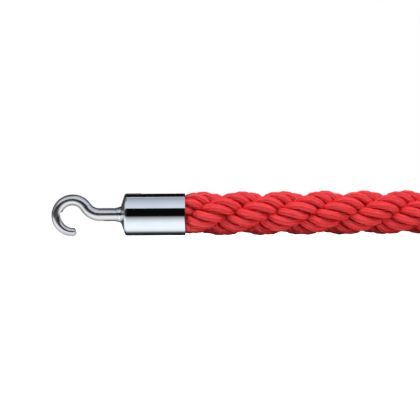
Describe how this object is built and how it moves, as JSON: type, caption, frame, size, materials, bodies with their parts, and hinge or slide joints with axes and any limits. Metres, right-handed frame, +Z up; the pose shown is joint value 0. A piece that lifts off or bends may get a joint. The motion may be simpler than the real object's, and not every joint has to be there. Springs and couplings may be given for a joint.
{
  "type": "barrier rope",
  "caption": "Thick twisted rope with a chromed ferrule and a swivelling open hook on each end, folded into a tied hank; hangs between posts to close off a way.",
  "frame": {"origin": "on the floor under the middle of the folded rope's bounding box", "axes": "+X along the rope, from the near hook towards the fold of the hank; +Y across the two runs, away from the picture's viewer; +Z up"},
  "size_m": [0.8221, 0.1966, 0.0305],
  "materials": {
    "chrome": "polished chrome plate on brass and steel",
    "steel": "plain zinc plated steel, hidden",
    "fibre": "pressed fibre board, hidden",
    "adhesive": "cast resin adhesive, hidden",
    "thread": "bound cotton thread, hidden",
    "red_yarn": "glossy red yarn, laid in strands",
    "black_webbing": "woven strap with a hook-and-loop closure"
  },
  "bodies": {
    "rope": {"near_ferrule": "chrome", "near_neck_bush": "chrome", "near_stop_disc": "fibre", "near_glue_plug": "adhesive", "near_whipping": "thread", "far_ferrule": "chrome", "far_neck_bush": "chrome", "far_stop_disc": "fibre", "far_glue_plug": "adhesive", "far_whipping": "thread", "rope_run": "red_yarn", "rope_hank": "red_yarn", "storage_tie": "black_webbing"},
    "near_swivel": {"near_hook": "chrome", "near_washer": "steel", "near_lock_nut": "steel"},
    "far_swivel": {"far_hook": "chrome", "far_washer": "steel", "far_lock_nut": "steel"}
  },
  "joints": [
    {"name": "near_hook_swivel", "type": "hinge", "parent": "rope", "child": "near_swivel", "pos_m": [-0.36474, -0.01575, 0.01468], "axis": [1, 0, 0], "continuous": true},
    {"name": "far_hook_swivel", "type": "hinge", "parent": "rope", "child": "far_swivel", "pos_m": [-0.10874, 0.01575, 0.01468], "axis": [1, 0, 0], "continuous": true}
  ]
}
